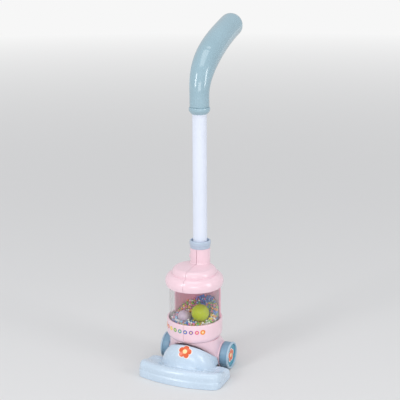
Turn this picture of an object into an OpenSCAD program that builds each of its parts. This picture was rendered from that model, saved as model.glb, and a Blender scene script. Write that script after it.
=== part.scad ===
// Toy upright vacuum cleaner with a bead chamber, made as an assembly of separate pieces.
// Millimetres, +Z up, the floor at z = 0. The floor head points to -Y and the grip to +Y.
// Pieces are drawn about the upright axis of the bead chamber. The whole toy is then moved
// along Y, so that the origin lies on the floor under the middle of its outer box.

/* [Wheels and axle] */
// Diameter of a wheel over its rim
wheel_d = 46; // [40:0.5:56]
// Width of a wheel
wheel_w = 15.3; // [12:0.1:19]
// Height of a wheel's rim above its tread
wheel_rim_h = 1; // [0.5:0.1:2]
// Width of a wheel's rim
wheel_rim_w = 3; // [2:0.1:4]
// Wall of a wheel
wheel_wall = 2.2; // [1.6:0.1:3]
// Depth of a wheel cap's face behind the rim
cap_depth = 2.2; // [1:0.1:4]
// Thickness of a wheel cap
cap_t = 1.6; // [1:0.1:2.5]
// Distance between the outer faces of the two wheels
track_w = 125.2; // [110:0.2:150]
// Gap between a wheel and the leg beside it
wheel_gap = 0.8; // [0.7:0.1:2]
// Diameter of the axle
axle_d = 5; // [4:0.1:6]
// Distance of the axle behind the axis of the bead chamber
axle_back = 16; // [12:0.5:20]

/* [Body shells] */
// Wall of the body shells
wall = 2.4; // [1.8:0.1:3]
// Height of the bowl's underside above the axle
bowl_lift = 34; // [32:0.5:40]
// Height of the bowl
bowl_h = 35; // [30:0.5:44]
// How far the bowl stands out from the window
bowl_over = 4; // [3.4:0.1:6]
// Rounding of the bowl's bottom edge
bowl_round = 12; // [8:0.5:14]
// How far the dome's skirt stands out from the window
dome_over = 6; // [4:0.1:9]
// Rounding of the dome's skirt
skirt_round = 14; // [10:0.5:17]
// Height of the widest line of the skirt above its lower edge
skirt_drop = 7; // [4:0.5:9]
// How far the skirt draws in at its lower edge
skirt_taper = 1.5; // [0.5:0.1:2.5]
// Set-back of the dome's upper tier from the skirt
tier_set = 11.5; // [9:0.5:14]
// Rise of the upper tier before it rounds over
tier_step = 1.5; // [0.5:0.1:4]
// Rounding of the upper tier
tier_round = 9; // [6:0.5:11]
// Rise of the dome's crown to its axis
crown_h = 1.5; // [0.5:0.1:4]
// Height of the neck above the crown
neck_h = 25; // [18:0.5:34]
// Wall of the neck round the pole
neck_wall = 4.8; // [4:0.1:6]
// Depth of the pole's socket below the top of the neck
socket_h = 44; // [36:0.5:50]
// Thickness of the flange round each leg's axle hole
flange_t = 2.6; // [2:0.1:4]
// How far that flange stays inside the wheel's rim
flange_set = 1; // [0.5:0.1:2]
// How far the front and back of the saddle stay inside the bowl
saddle_set = 9; // [7:0.5:12]
// How far the sides of the saddle stay inside the bowl
saddle_side_set = 3.5; // [2.5:0.5:9]
// Height of the saddle below the bowl
saddle_h = 3; // [2:0.1:5]
// Radius of the front opening between the legs
front_open_r = 33.5; // [24:0.5:33.5]

/* [Bead chamber] */
// Outer radius of the window
window_r = 43; // [40:0.5:50]
// Thickness of the window
window_t = 1.6; // [1:0.1:2.5]
// Height of window that shows between bowl and dome
window_show = 57; // [45:0.5:75]
// Angle that the window spans round the chamber
window_angle = 208; // [170:1:240]
// Height of the dome's lip over the window
lip_h = 5; // [3:0.5:8]
// Thickness of the ledge that carries the window
ledge_t = 2; // [1.4:0.1:3]
// How far the ledge reaches inside the window
ledge_in = 0.4; // [0.2:0.1:2]
// Thickness of the bead tray
tray_t = 2; // [1.4:0.1:3]
// Depth of the beads below the bowl's rim in front
bead_low = 1; // [0:0.5:6]
// Rise of the bead heap against the wall
bead_rise = 30; // [0:1:40]
// Turn of the heap's highest side from the back towards +X
heap_turn = 40; // [-90:1:90]
// Diameter of the green ball
green_d = 30.4; // [24:0.2:36]
// Place of the green ball along X and Y
green_at = [14.2, -8.5];
// Depth that the green ball sinks into the beads
green_sink = 4; // [0:0.5:12]
// Diameter of the lilac ball
lilac_d = 23; // [18:0.2:30]
// Place of the lilac ball along X and Y
lilac_at = [-13.8, -12];
// Depth that the lilac ball sinks into the beads
lilac_sink = 10; // [0:0.5:14]

/* [Agitator] */
// Module of the two gears
gear_m = 1.25; // [1.1:0.05:1.4]
// Teeth of the gear on the axle
axle_teeth = 24; // [20:1:26]
// Teeth of the gear on the agitator shaft
agitator_teeth = 16; // [14:1:18]
// Width of the gears
gear_w = 4.5; // [3:0.1:6]
// Distance of the agitator shaft behind the axis of the bead chamber
agitator_back = 6; // [3:0.5:9]
// Diameter of the agitator shaft
agitator_d = 4; // [3:0.1:5]
// Radius of the paddle
paddle_r = 16.4; // [13:0.1:16.5]
// Thickness of the paddle's blades
blade_t = 2; // [1.4:0.1:3]
// Number of blades
blades = 4; // [2:1:6]
// Wall of the trough round the paddle
trough_wall = 1.8; // [1.4:0.1:2.2]

/* [Floor head] */
// Width of the floor head
head_w = 147; // [130:1:180]
// Reach of the floor head in front of the axis of the bead chamber
head_front = 86; // [78:0.5:100]
// How far the ends of its front edge lie behind the middle of that edge
head_bow = 12; // [6:0.5:18]
// Distance of its back edge in front of the axis of the bead chamber
head_back = 23; // [18:0.5:27]
// Height of its front ridge
head_h = 26; // [22:0.5:32]
// Rounding of the ridge
ridge_r = 8; // [5:0.5:10]
// Set-back of the ridge behind the bumper lip
lip_set = 1.8; // [0.8:0.1:3]
// Height of the bumper lip
bumper_h = 12; // [8:0.5:15]
// Height of the shelf behind the ridge
shelf_h = 18.5; // [17:0.5:21]
// Distance of that shelf's front behind the front edge
shelf_at = 36; // [28:0.5:44]
// Height of the back edge
tail_h = 14; // [12:0.5:16]
// Corner radius of the floor head, seen from above
head_corner = 10; // [5:0.5:14]
// Wall of the floor head's cover
head_wall = 2.4; // [1.8:0.1:3]
// Radius of the hood about its own axis
hood_r = 47; // [44:0.5:54]
// Height of the hood's axis above the floor
hood_z = 10; // [6:0.5:14]
// Rounding of the hood's front
hood_round = 22; // [16:0.5:30]
// Reach of the hood in front of the axis of the bead chamber
hood_front = 62.5; // [58:0.5:70]
// Gap between the hood's back edge and the legs
hood_gap = 3; // [2:0.5:8]
// How far the hood's rim stays inside the bowl, seen from above
hood_tuck = 2; // [0:0.5:4]
// Length of the two low pads beside the hood
pad_len = 12; // [6:0.5:16]
// Width of a pad
pad_w = 13; // [8:0.5:16]
// Height of a pad's top above the floor
pad_h = 17.5; // [16:0.5:24]
// Thickness of the sole plate
sole_t = 2.4; // [2:0.1:3]
// Thickness of a hinge arm
arm_t = 4; // [3:0.1:5]
// Radius of a hinge arm's eye
eye_r = 8; // [6.5:0.1:9]

/* [Pole and grip] */
// Outer diameter of the pole
pole_d = 24; // [20:0.5:28]
// Wall of the pole
pole_wall = 1.4; // [1:0.1:2.5]
// Length of pole that shows between neck ring and handle collar
pole_show = 215; // [120:1:400]
// Distance of the pole behind the axis of the bead chamber
pole_back = 25.4; // [20:0.1:30]
// Height of the neck ring
ring_h = 13; // [10:0.5:18]
// How far the neck ring stands out from the neck
ring_over = 1.3; // [0.6:0.1:3]
// Height of the handle collar
collar_h = 11.5; // [8:0.5:16]
// How far the handle collar stands out from the grip
collar_over = 1.4; // [0.6:0.1:3]
// Wall of the collar's sleeve round the pole
sleeve_t = 2.2; // [1.6:0.1:3.5]
// Length of the sleeve inside the grip
sleeve_h = 18; // [10:0.5:24]
// Wall of the grip
grip_wall = 1.6; // [1.2:0.1:2.5]
// Straight length of the grip above its collar
grip_straight = 21.5; // [20:0.5:60]
// Distance of the middle of the grip's round end behind the pole
grip_reach = 137.6; // [100:0.2:180]
// Height of the middle of the round end above the straight length
grip_rise = 98; // [70:0.5:130]
// Diameter of the round end
grip_end_d = 42; // [34:0.5:48]

/* [Fasteners] */
// Diameter of a screw's shank
screw_d = 2.9; // [2.2:0.1:3.2]
// Diameter of a screw's head
screw_head_d = 5.6; // [4.6:0.1:6]
// Height of a screw's head
screw_head_h = 1.4; // [1:0.1:1.6]
// Length of a screw below its head
screw_len = 9; // [6:0.5:10]
// Wall of the bosses round the screws
boss_wall = 2.2; // [1.6:0.1:2.6]

/* [Fits] */
// Gap round pieces that are fixed in place
fixed_gap = 0.1; // [0.05:0.01:0.3]
// Gap round shafts and pins that turn
running_gap = 0.05; // [0.03:0.01:0.1]
// Gap round loose or soft pieces
loose_gap = 0.4; // [0.3:0.05:0.8]
// Gap at the ends of shafts and hubs
end_gap = 0.3; // [0.2:0.05:0.6]

/* [Hidden] */
$fn = 64;
// Extra depth of a cut, so that it passes the face that it opens
cut = 1;
// Facets round the rounded saddle of the body
saddle_fn = 40;

// Heights
axle_z = wheel_d / 2;
bowl_z = axle_z + bowl_lift;
rim_z = bowl_z + bowl_h;
ledge_z = bowl_z + bowl_round;
tray_z = bowl_z + wall;
tray_top = tray_z + tray_t;
dome_z = rim_z + window_show;
skirt_z = dome_z + skirt_drop;
tier_z = skirt_z + skirt_round + tier_step;
crown_z = tier_z + tier_round + crown_h;
neck_top = crown_z + neck_h;
ring_top = neck_top + ring_h;
collar_z = ring_top + pole_show;
grip_z = collar_z + collar_h;
bend_z = grip_z + grip_straight;
socket_z = neck_top - socket_h;
bead_z = rim_z - bead_low;

// Radii about the chamber axis
window_in = window_r - window_t;
bowl_r = window_r + bowl_over;
dome_r = window_r + dome_over;
tier_r = dome_r - tier_set;
saddle_r = bowl_r - saddle_set;
tray_r = bowl_r - bowl_round - fixed_gap;
bead_r = window_in - ledge_in - loose_gap;
spine_r = window_r + 2 * loose_gap;

// Radii about the pole
pole_r = pole_d / 2;
neck_r = pole_r + neck_wall;
socket_r = pole_r + neck_wall / 2;
spigot_r = neck_r - neck_wall / 3;
spigot_h = 0.6 * ring_h;
ring_r = neck_r + ring_over;
ring_web = 1.6;
ring_chamfer = 1;
sleeve_r = pole_r + fixed_gap + sleeve_t;
grip_r = sleeve_r + loose_gap + grip_wall;
grip_end_r = grip_end_d / 2;
pole_top = grip_z + sleeve_h;

// The toy's middle along Y
mid_y = (pole_back + grip_reach + grip_end_r - head_front) / 2;

// Places along X, from the wheels inwards
wheel_x = track_w / 2;
leg_x = wheel_x - wheel_w - wheel_gap;
leg_in = leg_x - flange_t - wall;
// The sides of the saddle stay behind the flanges of the legs
saddle_side_r = min(bowl_r - saddle_side_set, leg_x - flange_t / 2);
// The hinge arms pass inside the legs and inside the hood, whichever is narrower
arm_side_gap = 5.5;
arm_hood_gap = 4;
arm_x = min(leg_in - arm_side_gap, hood_r - head_wall - arm_hood_gap);
arm_in = arm_x - arm_t;
bush_in = arm_in - loose_gap;
hub_end = bush_in - end_gap;
hub_step = 1.9;
gear_gap = 1;
bush_wall = 2;
bush_r = axle_d / 2 + bush_wall;
bush_flange_t = 0.6;
bush_flange_w = 2.4;
bush_flange_r = bush_r + bush_flange_w;

// Wheel
tread_r = wheel_d / 2 - wheel_rim_h;
cap_x = wheel_x - cap_depth;
cap_r = wheel_d / 2 - wheel_wall - wheel_rim_h - fixed_gap;
clip_t = 0.8;
axle_end = cap_x - cap_t - end_gap;
web_x = axle_end - end_gap - clip_t;
wheel_hub_wall = 3.2;
wheel_hub_r = axle_d / 2 + wheel_hub_wall;
clip_w = 3;
wheel_chamfer = 0.8;

// Gears and agitator
pressure = 20;
mesh_slack = 0.14;
axle_gear_r = gear_m * axle_teeth / 2;
agitator_gear_r = gear_m * agitator_teeth / 2;
gear_centres = axle_gear_r + agitator_gear_r;
agitator_z = axle_z + sqrt(pow(gear_centres, 2) - pow(axle_back - agitator_back, 2));
mesh_angle = atan2(agitator_z - axle_z, agitator_back - axle_back);
trough_gap = 1;
trough_r = paddle_r + trough_gap;
trough_r_out = trough_r + trough_wall;
tray_chord = sqrt(pow(tray_r, 2) - pow(agitator_back + trough_r_out, 2));
trough_out = min(tray_chord, hub_end - hub_step - gear_w - gear_gap);
trough_half = trough_out - trough_wall;
gear_x = trough_out + gear_gap;
paddle_end_gap = 1.2;
paddle_half = trough_half - paddle_end_gap;
paddle_hub_wall = 2.5;
paddle_hub_r = agitator_d / 2 + paddle_hub_wall;
agitator_bush_wall = 1.6;
agitator_bush_r = agitator_d / 2 + agitator_bush_wall;
agitator_flange_t = 0.8;
agitator_flange_w = 1.2;
gear_room = 0.75;
leg_r = axle_gear_r + gear_m + gear_room + wall;
flange_r = wheel_d / 2 - flange_set;

// Floor head
bow_r = (pow(head_w / 2, 2) + pow(head_bow, 2)) / (2 * head_bow);
bow_y = bow_r - head_front;
head_foot = 0.5;
hood_cut_r = bowl_r - hood_tuck;
hood_back = flange_r - axle_back + hood_gap;
pad_x = head_w / 2 - pad_w / 2 - head_corner;
pad_y = -head_back - pad_len;
foot_h = 4;
foot_y = -(head_back + head_front) / 2 + head_corner;
rear_screw_set = 8;
sole_screw_pitch = 20;
rear_screw_x = arm_x + screw_head_d / 2 + boss_wall + head_wall + rear_screw_set;
front_screw_x = head_w / 2 - head_corner - boss_wall;
front_screw_y = foot_y - sole_screw_pitch;
sole_screws_at = [
    [-front_screw_x, front_screw_y], [front_screw_x, front_screw_y],
    [-rear_screw_x, foot_y], [rear_screw_x, foot_y],
];

// Body screws, as Y and Z
boss_r = screw_d / 2 + boss_wall;
boss_lift = 2;
body_screws_at = [
    [-dome_r / 4, skirt_z + skirt_round / 2],
    [saddle_r - boss_r - wall, agitator_z + boss_lift],
];
screw_seat = 4;
neck_screw_z = neck_top - ring_h - boss_r;

// Draws a shape along X at a place given by Y and Z
module rod_x(x0, x1, y, z, r) {
    translate([x0, y, z]) rotate([0, 90, 0]) cylinder(r = r, h = x1 - x0);
}

// Extrudes an outline of Y and Z along X
module slab_x(x0, x1) {
    translate([x0, 0, 0]) rotate([90, 0, 90]) linear_extrude(x1 - x0) children();
}

// Turns an outline of radius and X about the axle
module turn_axle() {
    translate([0, axle_back, axle_z]) rotate([0, 90, 0]) rotate_extrude() children();
}

// Moves the parts drawn about the pole's axis
module at_pole() {
    translate([0, pole_back, 0]) children();
}

module ring(r_in, r_out, z0, z1) {
    translate([0, 0, z0]) difference() {
        cylinder(r = r_out, h = z1 - z0);
        translate([0, 0, -cut]) cylinder(r = r_in, h = z1 - z0 + 2 * cut);
    }
}

module placed() {
    translate([0, -mid_y, 0]) children();
}

// Outline of the dome as radius and height, drawn in by t, above a given height
module dome_outline(t, from) {
    intersection() {
        union() {
            translate([dome_r - skirt_round, skirt_z]) circle(skirt_round - t);
            polygon([
                [0, dome_z], [dome_r - skirt_taper - t, dome_z], [dome_r - t, skirt_z],
                [dome_r - skirt_round, skirt_z + skirt_round - t], [0, skirt_z + skirt_round - t],
            ]);
            translate([tier_r - tier_round, tier_z]) circle(tier_round - t);
            polygon([
                [0, skirt_z], [tier_r - t, skirt_z], [tier_r - t, tier_z],
                [tier_r - tier_round, tier_z + tier_round - t], [0, crown_z - t],
            ]);
        }
        translate([0, from]) square([dome_r + cut, crown_z - from]);
    }
}

// Outline of the bowl as radius and height, drawn in by t
module bowl_outline(t, top) {
    translate([bowl_r - bowl_round, bowl_z + bowl_round]) circle(bowl_round - t);
    polygon([
        [0, bowl_z + t], [bowl_r - bowl_round, bowl_z + t], [bowl_r - t, bowl_z + bowl_round],
        [bowl_r - t, top], [0, top],
    ]);
}

// Saddle that runs from under the bowl out to the two legs
module saddle(t, leg_end, height) {
    hull() {
        translate([0, 0, bowl_z - saddle_h]) scale([(saddle_side_r - t) / (saddle_r - t), 1, 1])
            cylinder(r = saddle_r - t, h = height, $fn = saddle_fn);
        for (s = [-1, 1]) {
            translate([s * leg_end, axle_back, axle_z]) rotate([0, -90 * s, 0])
                cylinder(r = leg_r - t, h = cut, $fn = saddle_fn);
        }
    }
}

module body_outside() {
    rotate_extrude() dome_outline(0, dome_z);
    rotate_extrude() bowl_outline(0, rim_z);
    at_pole() translate([0, 0, skirt_z]) cylinder(r = neck_r, h = neck_top - skirt_z);
    saddle(0, leg_x - flange_t / 2, saddle_h + wall);
    for (s = [-1, 1]) {
        mid = s * (leg_x - flange_t / 2);
        rod_x(mid - flange_t / 2, mid + flange_t / 2, axle_back, axle_z, flange_r);
    }
}

module body_hollow() {
    rotate_extrude() dome_outline(wall, dome_z + lip_h);
    translate([0, 0, dome_z - cut]) cylinder(r = window_r + loose_gap, h = lip_h + 2 * cut);
    rotate_extrude() bowl_outline(wall, rim_z + cut);
    saddle(wall, leg_in, saddle_h);
}

// Openings between the legs for the hinge arms and the gears
arm_play = 1.5;
arch_lap = 4;
slot_back = 4;
slot_rise = 2;
slot_drop = 12;
module leg_openings() {
    arm_room = arm_x + arm_play;
    arch_y = agitator_back - trough_r_out + arch_lap;
    translate([0, arch_y, axle_z]) rotate([90, 0, 0]) cylinder(r = front_open_r, h = bowl_r);
    translate([-arm_room, -bowl_r, -cut])
        cube([2 * arm_room, bowl_r + axle_back - slot_back, axle_z + slot_rise + cut]);
    translate([-arm_room, -bowl_r, -cut])
        cube([2 * arm_room, bowl_r + axle_back + eye_r, axle_z - slot_drop + cut]);
}

// Openings in the bowl's floor for the trough and the agitator gear
gear_half = 7.5;
module deck_openings() {
    translate([-trough_out - cut, agitator_back - trough_r_out - cut, bowl_z - cut])
        cube([2 * trough_out + 2 * cut, 2 * trough_r_out + 2 * cut, wall + 2 * cut]);
    translate([0, agitator_back + gear_half / 4 - gear_half, bowl_z - cut])
        cube([gear_x + gear_w + cut, 2 * gear_half, wall + 2 * cut]);
}

// Angle between the window's side and the spine's
spine_turn = 1;
module spine() {
    half = 180 - window_angle / 2 - spine_turn;
    foot = ledge_z - ledge_t;
    rotate([0, 0, 90 - half]) rotate_extrude(angle = 2 * half) {
        translate([window_in, foot]) square([spine_r - window_in, dome_z + lip_h - cut - foot]);
        translate([window_in, foot]) square([bowl_r - wall / 2 - window_in, rim_z - wall - foot]);
    }
}

module pole_socket() {
    at_pole() translate([0, 0, socket_z - wall])
        cylinder(r = socket_r, h = neck_top - socket_z);
}

module body_bosses() {
    intersection() {
        body_outside();
        for (at = body_screws_at) rod_x(-bowl_r, bowl_r, at[0], at[1], boss_r);
    }
}

module pole_bore() {
    at_pole() {
        translate([0, 0, socket_z]) cylinder(r = pole_r + fixed_gap, h = neck_top + ring_h - socket_z);
        translate([0, 0, socket_z - wall - cut]) cylinder(r = pole_r - neck_wall / 2, h = wall + 2 * cut);
    }
}

// The body before it is split into a left and a right shell
module body() {
    difference() {
        union() {
            difference() {
                body_outside();
                body_hollow();
            }
            spine();
            ring(window_in - ledge_in, bowl_r - wall / 2, ledge_z - ledge_t, ledge_z);
            pole_socket();
            body_bosses();
            at_pole() translate([0, 0, neck_top - cut]) cylinder(r = spigot_r, h = spigot_h + cut);
        }
        pole_bore();
        leg_openings();
        deck_openings();
        rod_x(-wheel_x, wheel_x, axle_back, axle_z, bush_r + fixed_gap);
    }
}

// Wells, clearance holes and the neck's boss are on the left, pilot holes on the right
module body_shell_left() {
    boss_x = neck_r + boss_wall;
    color("pink") difference() {
        union() {
            intersection() {
                body();
                translate([-2 * wheel_x, -wheel_x, 0]) cube([2 * wheel_x, 2 * wheel_x, grip_z]);
            }
            difference() {
                rod_x(-boss_x, -pole_r - wall, pole_back, neck_screw_z, boss_r + boss_wall / 2);
                pole_bore();
            }
        }
        for (at = body_screws_at) {
            rod_x(-wheel_x, -screw_seat, at[0], at[1], screw_head_d / 2 + loose_gap);
            rod_x(-wheel_x, cut, at[0], at[1], screw_d / 2 + fixed_gap);
        }
        rod_x(-wheel_x, -pole_r - screw_seat, pole_back, neck_screw_z, screw_head_d / 2 + fixed_gap);
        rod_x(-wheel_x, -pole_r + cut, pole_back, neck_screw_z, screw_d / 2 + fixed_gap);
    }
}

module body_shell_right() {
    color("pink") difference() {
        intersection() {
            body();
            translate([0, -wheel_x, 0]) cube([2 * wheel_x, 2 * wheel_x, grip_z]);
        }
        for (at = body_screws_at)
            rod_x(-cut, screw_len - screw_seat + cut, at[0], at[1], screw_d / 2 + fixed_gap);
    }
}

module screw_x(x_seat, y, z, length) {
    rod_x(x_seat, x_seat + length, y, z, screw_d / 2);
    rod_x(x_seat - screw_head_h, x_seat, y, z, screw_head_d / 2);
}

module body_screws() {
    color("silver") for (at = body_screws_at) screw_x(-screw_seat, at[0], at[1], screw_len);
}

module neck_screw() {
    color("silver") screw_x(-pole_r - screw_seat, pole_back, neck_screw_z, screw_seat + pole_wall + cut);
}

module window() {
    color("white", 0.3) rotate([0, 0, 270 - window_angle / 2]) rotate_extrude(angle = window_angle)
        translate([window_in, ledge_z]) square([window_t, dome_z + lip_h - cut - ledge_z]);
}

// Outline of Y and Z round the paddle, open at the top
module trough_outline(r, top) {
    intersection() {
        translate([agitator_back, agitator_z]) circle(r);
        translate([agitator_back - r, agitator_z - r]) square([2 * r, r]);
    }
    translate([agitator_back - r, agitator_z]) square([2 * r, top - agitator_z]);
}

module bead_tray() {
    color("mistyrose") difference() {
        union() {
            translate([0, 0, tray_z]) cylinder(r = tray_r, h = tray_t);
            slab_x(-trough_out, trough_out) trough_outline(trough_r_out, tray_top);
        }
        slab_x(-trough_half, trough_half) trough_outline(trough_r, tray_top + cut);
        rod_x(-wheel_x, wheel_x, agitator_back, agitator_z, agitator_bush_r + fixed_gap);
    }
}

module bead_fill() {
    bead_foot = tray_top + loose_gap;
    bead_bend = -bead_r / 8;
    color("khaki") difference() {
        intersection() {
            cylinder(r = bead_r, h = dome_z);
            rotate([0, 0, -heap_turn]) slab_x(-bead_r, bead_r) polygon([
                [-bead_r, bead_foot], [bead_r, bead_foot], [bead_r, bead_z + bead_rise],
                [bead_bend, bead_z], [-bead_r, bead_z],
            ]);
        }
        rod_x(-trough_half, trough_half, agitator_back, agitator_z, paddle_r + loose_gap);
        ball_way(green_at, green_d, green_sink);
        ball_way(lilac_at, lilac_d, lilac_sink);
    }
}

module ball_at(at, d, sink, gap) {
    translate([at[0], at[1], bead_z + d / 2 - sink]) sphere(r = d / 2 + gap);
}

// Room round a ball and above it, so that it can rise from the beads
module ball_way(at, d, sink) {
    ball_at(at, d, sink, loose_gap);
    translate([at[0], at[1], bead_z + d / 2 - sink]) cylinder(r = d / 2 + loose_gap, h = dome_z - bead_z);
}

module ball_green() {
    color("yellowgreen") ball_at(green_at, green_d, green_sink, 0);
}

module ball_lilac() {
    color("thistle") ball_at(lilac_at, lilac_d, lilac_sink, 0);
}

module pole() {
    color("lavender") difference() {
        at_pole() ring(pole_r - pole_wall, pole_r, socket_z, pole_top);
        rod_x(-neck_r, -pole_r + 2 * pole_wall, pole_back, neck_screw_z, screw_d / 2 + fixed_gap);
    }
}

module neck_ring() {
    lip = spigot_r + fixed_gap;
    bore = pole_r + fixed_gap;
    web_z = neck_top + spigot_h + fixed_gap;
    chamfer = ring_chamfer;
    color("lightsteelblue") at_pole() rotate_extrude() polygon([
        [lip, neck_top], [ring_r - chamfer, neck_top], [ring_r, neck_top + chamfer],
        [ring_r, ring_top - chamfer], [ring_r - chamfer, ring_top], [lip, ring_top],
        [lip, web_z + ring_web], [bore, web_z + ring_web], [bore, web_z], [lip, web_z],
    ]);
}

module handle_collar() {
    wide = grip_r + collar_over;
    bore = pole_r + fixed_gap;
    color("lightblue") at_pole() rotate_extrude() polygon([
        [bore, collar_z], [bore + collar_over, collar_z], [wide, collar_z + collar_h / 2],
        [wide, grip_z - collar_h / 8], [wide - collar_over / 2, grip_z], [sleeve_r, grip_z],
        [sleeve_r, grip_z + sleeve_h], [bore, grip_z + sleeve_h],
    ]);
}

// The grip's line in the plane of Y and Z: straight up, then a curve back to the round end
grip_line = [
    [pole_back, bend_z], [pole_back, bend_z + 0.45 * grip_rise],
    [pole_back + 0.36 * grip_reach, bend_z + 0.74 * grip_rise], [pole_back + grip_reach, bend_z + grip_rise],
];
function curve_point(p, t) =
    pow(1 - t, 3) * p[0] + 3 * t * pow(1 - t, 2) * p[1] + 3 * t * t * (1 - t) * p[2] + pow(t, 3) * p[3];
function curve_way(p, t) =
    pow(1 - t, 2) * (p[1] - p[0]) + 2 * t * (1 - t) * (p[2] - p[1]) + t * t * (p[3] - p[2]);
grip_sides = 28;
grip_steps = 20;
cap_steps = 6;
// Each ring holds its middle, its direction and its radius, for a wall drawn in by t
function grip_rings(t) = concat(
    [[[pole_back, grip_z], [0, 1], grip_r - t]],
    [for (i = [0:grip_steps]) let (s = i / grip_steps)
        [curve_point(grip_line, s), curve_way(grip_line, s), grip_r + (grip_end_r - grip_r) * s - t]],
    [for (i = [1:cap_steps]) let (
            a = 90 * i / (cap_steps + 0.4),
            way = curve_way(grip_line, 1) / norm(curve_way(grip_line, 1)))
        [grip_line[3] + way * (grip_end_r - t) * sin(a), way, (grip_end_r - t) * cos(a)]]
);
function ring_points(ring) =
    let (way = ring[1] / norm(ring[1]))
    [for (k = [0:grip_sides - 1]) let (a = 360 * k / grip_sides)
        [ring[2] * cos(a), ring[0][0] - way[1] * ring[2] * sin(a), ring[0][1] + way[0] * ring[2] * sin(a)]];
function band(a, b) = [for (k = [0:grip_sides - 1]) let (n = (k + 1) % grip_sides)
    each [[a + k, b + k, b + n], [a + k, b + n, a + n]]];

module handle_grip() {
    outer = grip_rings(0);
    inner = grip_rings(grip_wall);
    rings = len(outer);
    points = [for (ring = concat(outer, inner)) each ring_points(ring)];
    last = (rings - 1) * grip_sides;
    inside = rings * grip_sides;
    color("lightblue") polyhedron(points, concat(
        [for (i = [0:rings - 2]) each band(i * grip_sides, (i + 1) * grip_sides)],
        [for (i = [0:rings - 2]) each band(inside + (i + 1) * grip_sides, inside + i * grip_sides)],
        band(inside, 0),
        [[for (k = [grip_sides - 1:-1:0]) last + k]],
        [[for (k = [0:grip_sides - 1]) inside + last + k]]
    ));
}

module axle() {
    color("silver") rod_x(-axle_end, axle_end, axle_back, axle_z, axle_d / 2);
}

module axle_clips() {
    color("dimgray") for (s = [-1, 1]) mirror([s < 0 ? 1 : 0, 0, 0]) turn_axle()
        translate([axle_d / 2, web_x]) square([clip_w, clip_t]);
}

module wheel() {
    inner_x = leg_x + wheel_gap;
    rim_x = wheel_x - wheel_rim_w;
    turn_axle() {
        polygon([
            [tread_r - wheel_wall, inner_x], [tread_r, inner_x], [tread_r, rim_x],
            [wheel_d / 2, rim_x], [wheel_d / 2, wheel_x - wheel_chamfer],
            [wheel_d / 2 - wheel_chamfer, wheel_x],
            [cap_r + fixed_gap, wheel_x], [cap_r + fixed_gap, web_x], [tread_r - wheel_wall, web_x],
        ]);
        translate([axle_d / 2, web_x - wheel_wall])
            square([tread_r - axle_d / 2 - wheel_wall / 2, wheel_wall]);
        translate([axle_d / 2, inner_x]) square([wheel_hub_r - axle_d / 2, web_x - inner_x]);
    }
}

module wheel_cap() {
    turn_axle() translate([0, cap_x - cap_t]) square([cap_r, cap_t]);
}

module wheel_left() {
    color("slategray") mirror([1, 0, 0]) wheel();
}

module wheel_right() {
    color("slategray") wheel();
}

module wheel_cap_left() {
    color("cadetblue") mirror([1, 0, 0]) wheel_cap();
}

module wheel_cap_right() {
    color("cadetblue") wheel_cap();
}

// Involute of an angle, in degrees
function involute(a) = tan(a) * 180 / PI - a;
// Half of the angle that a tooth spans at radius r
function tooth_half(teeth, pitch_r, r) =
    90 / teeth - mesh_slack / pitch_r * 90 / PI + involute(pressure)
    - involute(acos(min(1, pitch_r * cos(pressure) / r)));

module gear_outline(teeth, turned) {
    pitch_r = gear_m * teeth / 2;
    root_r = pitch_r - 1.25 * gear_m;
    flank = [for (i = [0:5]) root_r + (pitch_r + gear_m - root_r) * i / 5];
    polygon([for (k = [0:teeth - 1], side = [-1, 1], i = [0:5]) let (
            r = flank[side < 0 ? i : 5 - i],
            a = turned + 360 * k / teeth + side * tooth_half(teeth, pitch_r, r))
        [r * cos(a), r * sin(a)]]);
}

module axle_gear() {
    color("gold") difference() {
        union() {
            translate([0, axle_back, axle_z]) slab_x(gear_x, gear_x + gear_w)
                gear_outline(axle_teeth, mesh_angle);
            rod_x(gear_x + gear_w - cut, hub_end, axle_back, axle_z, wheel_hub_r);
        }
        rod_x(gear_x - cut, hub_end + cut, axle_back, axle_z, axle_d / 2);
    }
}

module agitator_gear() {
    color("gold") translate([0, agitator_back, agitator_z]) difference() {
        slab_x(gear_x, gear_x + gear_w) gear_outline(agitator_teeth, mesh_angle + 180 + 180 / agitator_teeth);
        rod_x(gear_x - cut, gear_x + gear_w + cut, 0, 0, agitator_d / 2);
    }
}

module agitator_shaft() {
    color("silver") rod_x(-trough_out, gear_x + gear_w, agitator_back, agitator_z, agitator_d / 2);
}

module agitator_paddle() {
    color("white") translate([0, agitator_back, agitator_z]) difference() {
        union() {
            rod_x(-paddle_half, paddle_half, 0, 0, paddle_hub_r);
            for (k = [0:blades - 1]) rotate([360 * k / blades, 0, 0])
                translate([-paddle_half, -blade_t / 2, 0]) cube([2 * paddle_half, blade_t, paddle_r]);
        }
        rod_x(-trough_out, trough_out, 0, 0, agitator_d / 2);
    }
}

module agitator_bush() {
    translate([0, agitator_back, agitator_z]) rotate([0, 90, 0]) rotate_extrude() {
        bore = agitator_d / 2 + running_gap;
        translate([bore, trough_half]) square([agitator_bush_r - bore, trough_wall]);
        translate([bore, trough_half - agitator_flange_t])
            square([agitator_bush_r + agitator_flange_w - bore, agitator_flange_t]);
    }
}

module agitator_bush_left() {
    color("ivory") mirror([1, 0, 0]) agitator_bush();
}

module agitator_bush_right() {
    color("ivory") agitator_bush();
}

// Carries the axle inside and a hinge arm's eye outside
module axle_bush() {
    bore = axle_d / 2 + running_gap;
    turn_axle() {
        translate([bore, bush_in]) square([bush_r - bore, leg_x - bush_in]);
        translate([bore, leg_x]) square([bush_flange_r - bore, bush_flange_t]);
    }
}

module axle_bush_left() {
    color("ivory") mirror([1, 0, 0]) axle_bush();
}

module axle_bush_right() {
    color("ivory") axle_bush();
}

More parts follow.
